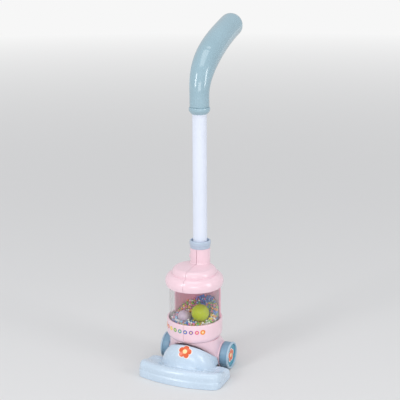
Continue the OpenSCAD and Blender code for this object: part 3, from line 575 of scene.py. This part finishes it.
# %% Leg flanges
flange_outline = [(4.62, 43.9), (22, 43.9), (22, LEG_X), (4.62, LEG_X)]
for side, sign in SIDES.items():
    flange = moved(spun(flange_outline, {1: (0.6, 3), 2: (0.8, 3)}), onto_x(0, AXLE_BACK, AXLE_Z, sign))
    piece(flange, f"leg_flange_{side}", pink, "upright", (SHELL[side],))

# %% [markdown]
# A small boss on the left of the neck takes the screw that holds the pole. It is a short ring
# whose hole is deep enough to stay dark, with the steel screw of the frame at its bottom.

# %% Neck boss
BOSS_Z = 190.35
boss_outline = [(2.95, 12.6), (4.1, 12.6), (4.1, 18.6), (2.95, 18.6)]
boss = moved(spun(boss_outline, {2: (0.6, 4), 3: (0.3, 3)}, steps=40), onto_x(0, POLE_BACK, BOSS_Z, -1))
piece(boss, "neck_boss", pink, "upright", (SHELL["left"],))

# %% [markdown]
# A ring covers the top of the neck, and a collar closes the lower end of the grip. Both are plain
# turned pieces, and the rounding of their edges is what makes them look moulded.

# %% Neck ring and handle collar
RING_TOP, COLLAR_Z, GRIP_Z = 220.0, 435.0, 446.5
ring_outline = [(15.3, NECK_TOP), (17.1, NECK_TOP), (17.1, 212.2), (18.1, 213), (18.1, RING_TOP),
                (14.7, RING_TOP), (14.7, 216.5), (12.15, 216.5), (12.15, 215), (15.3, 215)]
ring_rounds = {1: (0.8, 4), 2: (0.5, 3), 3: (0.5, 3), 4: (2.1, 8), 5: (1.2, 6)}
ring = moved(spun(ring_outline, ring_rounds), Matrix.Translation((0, POLE_BACK, 0)))
piece(ring, "neck_ring_trim", ring_blue, "upright", ("neck_ring",))

GRIP_R = 16.3
collar_outline = [(12.1, COLLAR_Z), (13.4, COLLAR_Z), (17.7, 440.6), (17.7, 446), (16.6, 446.4),
                  (12.1, 446.4)]
collar_rounds = {1: (0.6, 3), 2: (2.2, 6), 3: (1.6, 6)}
collar = moved(spun(collar_outline, collar_rounds), Matrix.Translation((0, POLE_BACK, 0)))
piece(collar, "handle_collar_trim", grip_blue, "upright", ("handle_collar",))

# %% [markdown]
# The grip is a bent tube that swells past its bend and ends round. Its line is one curve with four
# handle points, and each station on it has a centre, a direction and a radius. A shallow groove near
# the bend is where the two lengths of the grip meet.

# %% Grip line
BEND_Z, GRIP_END_R, GRIP_SWELL = 468.0, 21.0, 2.6
GRIP_STEPS, GROOVE_STEP, GROOVE_DEPTH, END_STEPS = 72, 35, 0.35, 13
grip_line = [Vector((0, POLE_BACK, BEND_Z)), Vector((0, POLE_BACK, BEND_Z + 44.1)),
             Vector((0, POLE_BACK + 49.54, BEND_Z + 72.52)), Vector((0, POLE_BACK + 137.6, BEND_Z + 98))]


def on_line(t):
    a, b, c, d = grip_line
    s = 1 - t
    point = a * s ** 3 + b * 3 * t * s * s + c * 3 * t * t * s + d * t ** 3
    way = (b - a) * s * s + (c - b) * 2 * t * s + (d - c) * t * t
    return point, way.normalized()


def grip_radius(t):
    """Radius of the grip: it swells past the bend and draws in a little before the round end."""
    return GRIP_R + (GRIP_END_R - GRIP_R) * t + GRIP_SWELL * math.sin(math.pi * t) ** 1.5


def grip_stations():
    """Centre, direction and radius of each ring: a rounded foot, the bent length and the round end."""
    for up, inward in ((0.15, 0.5), (0.5, 0.1), (1.2, 0)):
        yield Vector((0, POLE_BACK, GRIP_Z + up)), Vector((0, 0, 1)), GRIP_R - inward
    for i in range(GRIP_STEPS + 1):
        t = i / GRIP_STEPS
        point, way = on_line(t)
        dip = GROOVE_DEPTH if i == GROOVE_STEP else 0
        yield point, way, grip_radius(t) - dip
    for i in range(1, END_STEPS + 1):
        a = math.radians(90 * i / (END_STEPS + 0.2))
        yield point + way * GRIP_END_R * math.sin(a), way, GRIP_END_R * math.cos(a)


print("grip stations:", len(list(grip_stations())))

# %% [markdown]
# One ring of edges is extruded along the stations. Each new ring is laid at the next centre, turned
# into the line's direction and scaled to the radius, and the small ring at the tip is filled.

# %% Grip
bm = bmesh.new()
loop = []
for centre, way, r in grip_stations():
    turn = Vector((0, 0, 1)).rotation_difference(way).to_matrix().to_4x4()
    put = Matrix.Translation(centre) @ turn @ Matrix.Diagonal((r, r, r, 1))
    if not loop:
        made = bmesh.ops.create_circle(bm, segments=64, radius=1)
        loop = made["verts"]
        edges = list({e for v in loop for e in v.link_edges})
    else:
        made = bmesh.ops.extrude_edge_only(bm, edges=edges)["geom"]
        loop = [g for g in made if isinstance(g, bmesh.types.BMVert)]
        edges = [g for g in made if isinstance(g, bmesh.types.BMEdge)]
        bmesh.ops.transform(bm, matrix=before.inverted(), verts=loop)
    bmesh.ops.transform(bm, matrix=put, verts=loop)
    before = put
bmesh.ops.holes_fill(bm, edges=[e for e in bm.edges if e.is_boundary], sides=0)
piece(bm, "handle_grip_skin", grip_blue, "upright", ("handle_grip",), sharp=50)

# %% [markdown]
# A wheel is a cup on its side: a tread, a slightly larger rim on its outer edge, and a web inside
# that carries the hub. The rim is a separate lighter ring, and a teal disc closes the face.

# %% Wheels
WHEEL_IN, WHEEL_OUT = 47.3, 62.6
TREAD_R, RIM_R, CAP_R, CAP_X, CAP_DIP = 22.0, 23.0, 19.7, 60.4, 0.5
tread_outline = [(19.8, WHEEL_IN), (TREAD_R, WHEEL_IN), (TREAD_R, 59.7), (CAP_R + 0.1, 59.7),
                 (CAP_R + 0.1, 57.1), (2.52, 57.1), (2.52, WHEEL_IN), (5.7, WHEEL_IN), (5.7, 54.9),
                 (19.8, 54.9)]
rim_outline = [(CAP_R + 0.1, 59.75), (RIM_R, 59.75), (RIM_R, WHEEL_OUT), (CAP_R + 0.1, WHEEL_OUT)]
cap_outline = [(NEAR_AXIS, CAP_X - 1.6), (CAP_R, CAP_X - 1.6), (CAP_R, CAP_X), (16.2, CAP_X),
               (15.6, CAP_X - CAP_DIP), (NEAR_AXIS, CAP_X - CAP_DIP)]
for side, sign in SIDES.items():
    where = onto_x(0, AXLE_BACK, AXLE_Z, sign)
    tread = moved(spun(tread_outline, {0: (0.4, 2), 1: (0.8, 3), 2: (0.3, 2)}), where)
    piece(tread, f"tread_{side}", wheel_blue, "axle", (f"wheel_{side}",))
    rim = moved(spun(rim_outline, {1: (0.6, 3), 2: (1.1, 5), 3: (0.6, 3)}), where)
    piece(rim, f"wheel_rim_{side}", rim_blue, "axle", (f"wheel_{side}",))
    cap = moved(spun(cap_outline, {2: (0.4, 3), 3: (0.3, 2), 4: (0.3, 2)}), where)
    piece(cap, f"wheel_disc_{side}", cap_teal, "axle", (f"wheel_cap_{side}",))

# %% [markdown]
# The floor head is one moulded cover: a bowed bar with a bumper lip and a rounded ridge, a hood
# that swells out of it, and two low pads. Each of these forms is written as a height over the plan.
# Where two heights come close, they are joined by a soft maximum, which gives the fillet that the
# mould has there.

# %% Floor head heights
HEAD_HALF, HEAD_FRONT, HEAD_BOW, HEAD_BACK = 73.5, 86.0, 12.0, 23.0
BOW_R = (HEAD_HALF ** 2 + HEAD_BOW ** 2) / (2 * HEAD_BOW)
BOW_Y = BOW_R - HEAD_FRONT
CORNER = 14.0
NOSE, NOSE_R, NOSE_Z = 9.8, 8.0, 18.0
BAR_RUN, BAR_FALL, BAR_TAIL = 26.2, 7.5, 0.09
CORNER_Y = BOW_Y - math.sqrt((BOW_R - CORNER) ** 2 - (HEAD_HALF - CORNER) ** 2)
CORNER_X = (HEAD_HALF - CORNER) * BOW_R / (BOW_R - CORNER)
HOOD_R, HOOD_Z, HOOD_ROUND, HOOD_BACK, HOOD_CUT = 47.0, 10.0, 22.0, 9.0, 45.0
HOOD_FRONT, HOOD_SWEEP, HOOD_FILLET = 60.5, 11.0, 9.0
PAD_TOP, PAD_X, PAD_Y = 17.5, 57.0, -29.0
PAD_HALF_X, PAD_HALF_Y, PAD_ROUND, PAD_STEEP, PAD_FILLET = 5.0, 4.5, 1.2, 5.0, 3.0


def soft_max(a, b, k):
    h = max(k - abs(a - b), 0) / k
    return max(a, b) + h * h * k / 4


def front_edge(x):
    x = abs(x)
    if x < CORNER_X:
        return BOW_Y - math.sqrt(BOW_R ** 2 - x * x)
    return CORNER_Y - math.sqrt(max(0, CORNER ** 2 - (x - HEAD_HALF + CORNER) ** 2))


def back_edge(x):
    x = abs(x)
    if x < math.sqrt(HOOD_CUT ** 2 - HOOD_BACK ** 2):
        return -math.sqrt(HOOD_CUT ** 2 - x * x)
    return -HOOD_BACK if x < HOOD_R else -HEAD_BACK


def bar_height(d):
    """Height of the bar at a distance behind its front edge."""
    if d < NOSE:
        return NOSE_Z + math.sqrt(max(0, NOSE_R ** 2 - (NOSE - d) ** 2))
    t = min(1, (d - NOSE) / BAR_RUN)
    return NOSE_Z + NOSE_R - BAR_FALL * t * t * (3 - 2 * t) - max(0, d - NOSE - BAR_RUN) * BAR_TAIL


def hood_height(x, y):
    y = HOOD_SWEEP * (x / HOOD_R) ** 2 - y
    if y > HOOD_FRONT:
        return HOOD_Z + HOOD_R - HOOD_ROUND - 4 * (y - HOOD_FRONT) - x * x / 60
    mid = HOOD_FRONT - HOOD_ROUND
    r = HOOD_R if y < mid else HOOD_R - HOOD_ROUND + math.sqrt(HOOD_ROUND ** 2 - (y - mid) ** 2)
    return HOOD_Z + math.sqrt(r * r - x * x) if abs(x) < r else HOOD_Z - 6 * (abs(x) - r)


def pad_height(x, y):
    out_x = max(abs(abs(x) - PAD_X) - PAD_HALF_X, 0)
    out_y = max(abs(y - PAD_Y) - PAD_HALF_Y, 0)
    return PAD_TOP - PAD_STEEP * max(math.hypot(out_x, out_y) - PAD_ROUND, 0)


def cover_height(x, y):
    d = (y - front_edge(x)) * math.cos(math.asin(min(abs(x), CORNER_X) / BOW_R))
    bar = bar_height(d) if y < -HEAD_BACK + 0.01 else HOOD_Z - 1
    return soft_max(soft_max(bar, hood_height(x, y), HOOD_FILLET), pad_height(x, y), PAD_FILLET)


print("hood top:", round(cover_height(0, -HOOD_CUT), 1), "pad top:", round(cover_height(PAD_X, PAD_Y), 1))

# %% [markdown]
# A grid of vertices is laid over the plan. Its first rows climb the front face, the lip and the round
# of the ridge. The other rows spread evenly to the back and take their heights from the forms above.
# The last column at each end folds down to the floor. Then the skin gets its wall, and the wall is
# held between the head's two ends.

# %% Floor head cover
FACE_FOOT, END_ROUND, END_LOW, END_BLEND, HEAD_WALL = 0.5, 8.0, 10.0, 6.0, 2.0
COLUMNS, ROWS, LAST_ROWS = 221, 96, 18
LIP = [(0, FACE_FOOT), (0.04, 3.5), (0.08, 7), (0.12, 9.4), (0.3, 10.3), (0.9, 11.1), (1.5, 11.7),
       (1.75, 12.4), (1.8, 13.5), (1.8, 15.5)]
FACE = LIP + [(NOSE - NOSE_R * math.cos(math.radians(a)), NOSE_Z + NOSE_R * math.sin(math.radians(a)))
              for a in range(0, 90, 10)]


def top_row(row, front, back):
    """Even rows from the ridge to the bar's back, and the last few on to the back of the hood."""
    middle = min(-HEAD_BACK, back)
    share = row / (ROWS - LAST_ROWS)
    if share <= 1:
        return front + (middle - front) * share
    return middle + (back - middle) * (row - ROWS + LAST_ROWS) / LAST_ROWS


def within_ends(x):
    return max(-HEAD_HALF, min(HEAD_HALF, x))


def walled(bm, thickness):
    """The skin with a wall on its inside, as a new bmesh."""
    sheet = scratch(bm, "wall_skin")
    wall = sheet.modifiers.new("wall", "SOLIDIFY")
    wall.thickness = thickness
    wall.offset = -1
    wall.use_quality_normals = True
    result = baked(sheet)
    for v in result.verts:
        v.co.x = within_ends(v.co.x)
    return result


bm = bmesh.new()
grid = bmesh.ops.create_grid(bm, x_segments=COLUMNS, y_segments=len(FACE) + ROWS, size=1)["verts"]
grid.sort(key=lambda v: (round(v.co.x, 5), round(v.co.y, 5)))
for index, v in enumerate(grid):
    column, row = divmod(index, len(FACE) + ROWS + 1)
    u = (2 * column / COLUMNS - 1) * (1 + 2 / COLUMNS)
    x = within_ends(u * HEAD_HALF)
    start_y = front_edge(x)
    if row < len(FACE):
        d, z = FACE[row]
        y = start_y + d
    else:
        y = top_row(row - len(FACE), start_y + NOSE + 0.1, back_edge(x))
        z = cover_height(x, y)
    near = max(0, abs(x) - HEAD_HALF + END_ROUND)
    drop = END_ROUND - math.sqrt(END_ROUND ** 2 - near ** 2)
    z -= drop * max(0, min(1, (z - END_LOW) / END_BLEND))
    v.co = (x, y, FACE_FOOT if abs(u) > 1.0001 else z)
bmesh.ops.remove_doubles(bm, verts=bm.verts, dist=0.002)
bmesh.ops.dissolve_degenerate(bm, edges=bm.edges, dist=0.002)
bmesh.ops.recalc_face_normals(bm, faces=bm.faces)
if sum(f.normal.z * f.calc_area() for f in bm.faces) < 0:
    bmesh.ops.reverse_faces(bm, faces=bm.faces)
piece(walled(bm, HEAD_WALL), "floor_head_cover", pale_blue, "floor_head", ("head_cover",), sharp=55,
      welded=False)

# %% [markdown]
# The beads are light foam balls of a few colours. In the frame they are one mass, so here the top
# of the mass is filled again with single beads. The heap rises to the back of the chamber, and it
# leaves room for the two balls and their way up. Colours have drifted into patches, so each patch
# is a point with the colours that lie round it.

# %% Bead heap
BEAD = 4.3
BEAD_R = 40.6
HEAP_LOW, HEAP_SLOPE, HEAP_DEPTH = 92.0, 0.62, 14.0
HEAP_TURN = math.radians(20)
BALLS = {"green": (Vector((14.2, -8.5, 102.2)), 15.2), "lilac": (Vector((-13.8, -12, 92.5)), 11.5)}
BEAD_COLOURS = {
    "yellow": (0.98, 0.86, 0.20), "pink": (0.95, 0.56, 0.69), "blue": (0.36, 0.55, 0.87),
    "sky": (0.62, 0.79, 0.95), "white": (0.96, 0.95, 0.93), "green": (0.53, 0.79, 0.35),
    "orange": (0.97, 0.62, 0.26), "violet": (0.63, 0.55, 0.84),
}
BEAD_ZONES = [
    (Vector((8, 36, 116)), ["blue", "violet", "blue", "sky", "pink", "blue"]),
    (Vector((-22, 20, 104)), ["pink", "orange", "yellow", "pink", "white", "green"]),
    (Vector((-34, -10, 93)), ["white", "sky", "violet", "white", "sky", "pink"]),
    (Vector((30, -16, 94)), ["yellow", "white", "yellow", "green", "white", "orange"]),
    (Vector((-4, -34, 92)), ["white", "yellow", "pink", "blue", "sky", "white"]),
    (Vector((33, 16, 104)), ["pink", "orange", "yellow", "blue", "green"]),
]


def heap_height(x, y):
    along = x * math.sin(HEAP_TURN) + y * math.cos(HEAP_TURN)
    return HEAP_LOW + max(0, along + 5) * HEAP_SLOPE


def in_ball_way(place, gap):
    """True inside a ball, or inside the room over it that it hops through."""
    for centre, r in BALLS.values():
        away = place - centre
        if away.z > 0:
            away.z = 0
        if away.length < r + gap:
            return True
    return False


print("heap height, front and back:", heap_height(0, -BEAD_R), round(heap_height(0, BEAD_R), 1))

# %% [markdown]
# The beads lie on a staggered lattice with a seeded shake. One small ball is made once, and a copy of
# it is moved to each place, which is much quicker than making each. All beads of a colour are one
# piece.

# %% Beads
LAYERS, HALF_ROWS, HALF_COLUMNS = 14, 12, 11
ROW_STEP, LAYER_STEP, LAYER_X, LAYER_Y = 0.866, 0.8, 0.33, 0.29
HEAP_FOOT, PATCH_MIX = 78, 16
seed = bmesh.new()
bmesh.ops.create_uvsphere(seed, u_segments=8, v_segments=6, radius=1)
bead_mesh = bpy.data.meshes.new("bead_seed")
seed.to_mesh(bead_mesh)
seed.free()
shake = random.Random(7)
heaps = {n: bmesh.new() for n in BEAD_COLOURS}
count = 0
for k in range(LAYERS):
    for j in range(-HALF_ROWS, HALF_ROWS + 1):
        for i in range(-HALF_COLUMNS, HALF_COLUMNS + 1):
            x = (i + 0.5 * (j % 2) + LAYER_X * (k % 3)) * BEAD + shake.uniform(-0.5, 0.5)
            y = (j * ROW_STEP + LAYER_Y * (k % 3)) * BEAD + shake.uniform(-0.5, 0.5)
            z = HEAP_FOOT + k * BEAD * LAYER_STEP + shake.uniform(-0.6, 0.6)
            r = BEAD / 2 * shake.uniform(0.82, 1.06)
            place = Vector((x, y, z))
            zone = min(BEAD_ZONES, key=lambda zone: (place - zone[0]).length + shake.uniform(0, PATCH_MIX))
            name = shake.choice(zone[1])
            top = heap_height(x, y) + shake.uniform(-1.0, 1.4)
            if math.hypot(x, y) > BEAD_R - r + 0.3 or not top - HEAP_DEPTH < z + r < top + 1:
                continue
            if in_ball_way(place, r * 0.85):
                continue
            put = Matrix.Translation(place) @ Matrix.Diagonal((r, r, r, 1))
            bead_mesh.transform(put)
            heaps[name].from_mesh(bead_mesh, face_normals=False, vertex_normals=False)
            bead_mesh.transform(put.inverted())
            count += 1
bpy.data.meshes.remove(bead_mesh)
print("beads:", count)
for name, heap in heaps.items():
    finish = moulded(f"bead_{name}", BEAD_COLOURS[name], gloss=0.55, drift=0.1)
    piece(heap, f"beads_{name}", finish, "upright", ("bead_fill",), sharp=80, welded=False)

# %% [markdown]
# Two larger balls lie on the beads. They are hollow and moulded in two halves, so each is a ball
# with a fine raised weld line round its middle: the edges of the equator get a narrow bevel, and
# the middle line of that bevel is drawn out a little.

# %% Loose balls
WELD_W, WELD_H = 0.45, 0.16
for name, finish in (("green", lime_ball), ("lilac", lilac_ball)):
    centre, r = BALLS[name]
    bm = bmesh.new()
    bmesh.ops.create_uvsphere(bm, u_segments=64, v_segments=32, radius=r)
    equator = [e for e in bm.edges if all(abs(v.co.z) < 0.01 for v in e.verts)]
    bmesh.ops.bevel(bm, geom=equator, offset=WELD_W, offset_type="OFFSET", affect="EDGES",
                    segments=2, profile=0.5, material=-1)
    weld = [v for v in bm.verts if abs(v.co.z) < 0.01]
    grow = 1 + WELD_H / r
    bmesh.ops.scale(bm, vec=(grow, grow, 1), verts=weld)
    tilt = Matrix.Rotation(math.radians(35), 4, "Y") @ Matrix.Rotation(math.radians(20), 4, "X")
    moved(bm, Matrix.Translation(centre) @ tilt)
    piece(bm, f"{name}_ball_skin", finish, f"{name}_ball", (f"ball_{name}",), sharp=80)

# %% [markdown]
# The toy carries a few printed stickers: a row of coloured spots round the bowl, and a flower on
# the hood and on each wheel disc. A sticker is a thin sheet that follows what it is stuck on. A
# flat disc gets a few inset rings, each ring takes an ink, the rim is drawn to its outline, every
# vertex is set on the toy's surface, and the sheet gets its thickness last.

# %% Sticker sheets
STICKER_T, STICKER_LIFT = 0.1, 0.12
INKS = {
    "orange": (0.95, 0.55, 0.20), "red": (0.86, 0.26, 0.25), "yellow": (0.96, 0.80, 0.22),
    "green": (0.36, 0.66, 0.32), "teal": (0.22, 0.62, 0.66), "blue": (0.27, 0.42, 0.76),
    "violet": (0.56, 0.38, 0.66), "rose": (0.90, 0.38, 0.56), "cream": (0.98, 0.88, 0.66),
    "white": (0.95, 0.94, 0.92), "coral": (0.89, 0.38, 0.18),
}
inks = {n: moulded(f"ink_{n}", rgb, gloss=0.3, drift=0.04, coat=0.3) for n, rgb in INKS.items()}


def sticker(name, rings, rim, place, body):
    """Rings are pairs of a width and an ink, from the edge inwards; the last ink fills the middle."""
    bm = bmesh.new()
    bmesh.ops.create_circle(bm, cap_ends=True, segments=100, radius=1)
    bm.faces.ensure_lookup_table()
    middle = bm.faces[0]
    used = list(dict.fromkeys(ink for width, ink in rings))
    for width, ink in rings[:-1]:
        made = bmesh.ops.inset_region(bm, faces=[middle], thickness=width, use_boundary=True,
                                      use_even_offset=True)["faces"]
        for face in made:
            face.material_index = used.index(ink)
    middle.material_index = used.index(rings[-1][1])
    bmesh.ops.poke(bm, faces=[middle])
    for v in bm.verts:
        reach, angle = v.co.xy.length, math.atan2(v.co.y, v.co.x)
        r = rim(reach, angle)
        v.co = place(r * math.cos(angle), r * math.sin(angle))
    bmesh.ops.recalc_face_normals(bm, faces=bm.faces)
    bmesh.ops.solidify(bm, geom=bm.faces[:], thickness=STICKER_T)
    obj = piece(bm, name, inks[used[0]], body)
    for ink in used[1:]:
        obj.data.materials.append(inks[ink])


print("inks:", len(inks))

# %% [markdown]
# The spots run round the front of the bowl, and the two at the ends are larger. The half shells stand
# a little off the middle plane, so the sheet is lifted by as much at the sides.

# %% Bowl spots
SPOTS = ["orange", "red", "yellow", "green", "teal", "blue", "violet", "rose", "orange"]
SPOT_Z, SPOT_FROM, SPOT_TO = 80.5, -57, 40
SPOT_R, END_SPOT_R = 3.5, 4.4


def disc(size):
    def rim(reach, angle):
        return reach * size
    return rim


def on_bowl(at):
    def place(u, v):
        a = at + u / BOWL_R
        r = BOWL_R + STICKER_LIFT + SEAM_GAP * abs(math.sin(a))
        return Vector((r * math.sin(a), -r * math.cos(a), SPOT_Z + v))
    return place


for i, ink in enumerate(SPOTS):
    at = math.radians(SPOT_FROM + (SPOT_TO - SPOT_FROM) * i / (len(SPOTS) - 1))
    spot_r = END_SPOT_R if i in (0, len(SPOTS) - 1) else SPOT_R
    sticker(f"bowl_spot_{i + 1}", [(0.3, ink), (0.25, ink), (0, "cream")], disc(spot_r), on_bowl(at),
            "upright")

# %% [markdown]
# The flowers use the same sheet. Petals come from drawing the rim in between five lobes, the one on
# the hood follows its rounded front, and the two on the discs lie flat and turn with the wheels.

# %% Flower stickers
FLOWER_RINGS = [(0.11, "white"), (0.2, "coral"), (0.2, "coral"), (0.19, "coral"), (0, "cream")]
FLOWER_R, FLOWER_AT, FLOWER_TURN = 12.5, math.radians(47), math.radians(8)


def petals(size):
    def rim(reach, angle):
        lobe = 0.66 + 0.34 * math.sqrt(abs(math.cos(2.5 * (angle - math.pi / 2))))
        share = min(1, max(0, (reach - 0.3) / 0.35))
        return reach * size * (1 + (lobe - 1) * share)
    return rim


def on_hood(u, v):
    down = FLOWER_AT - v / HOOD_ROUND
    lifted = HOOD_ROUND + STICKER_LIFT
    r = HOOD_R - HOOD_ROUND + lifted * math.cos(down)
    bearing = FLOWER_TURN + u / r
    x = r * math.sin(bearing)
    y = HOOD_SWEEP * (x / HOOD_R) ** 2 - HOOD_FRONT + HOOD_ROUND - lifted * math.sin(down)
    return Vector((x, y, HOOD_Z + r * math.cos(bearing)))


def on_disc(sign):
    def place(u, v):
        return Vector((sign * (CAP_X - CAP_DIP + STICKER_LIFT), AXLE_BACK + u, AXLE_Z + v))
    return place


sticker("hood_flower", FLOWER_RINGS, petals(FLOWER_R), on_hood, "floor_head")
for side, sign in SIDES.items():
    sticker(f"wheel_flower_{side}", FLOWER_RINGS, petals(FLOWER_R), on_disc(sign), "axle")

# %% [markdown]
# The pieces that keep their shape from the frame still get a finish each: the window, the pole,
# and the mechanism that shows from below.

# %% Finishes on the frame's own pieces
KEPT = {
    window_clear: ["window"], tube_white: ["pole"],
    steel: ["neck_screw", "body_screws", "axle", "axle_clips", "agitator_shaft", "sole_screws"],
    inner_white: ["axle_gear", "axle_bush_left", "axle_bush_right", "agitator_paddle", "agitator_gear",
                  "agitator_bush_left", "agitator_bush_right"],
    pink: ["bead_tray"], ring_blue: ["sole_plate", "hinge_arm_left", "hinge_arm_right"],
}
for finish, nodes in KEPT.items():
    for node in nodes:
        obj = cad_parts[node]
        obj.data.materials.clear()
        obj.data.materials.append(finish)
print("kept nodes:", sum(len(n) for n in KEPT.values()))
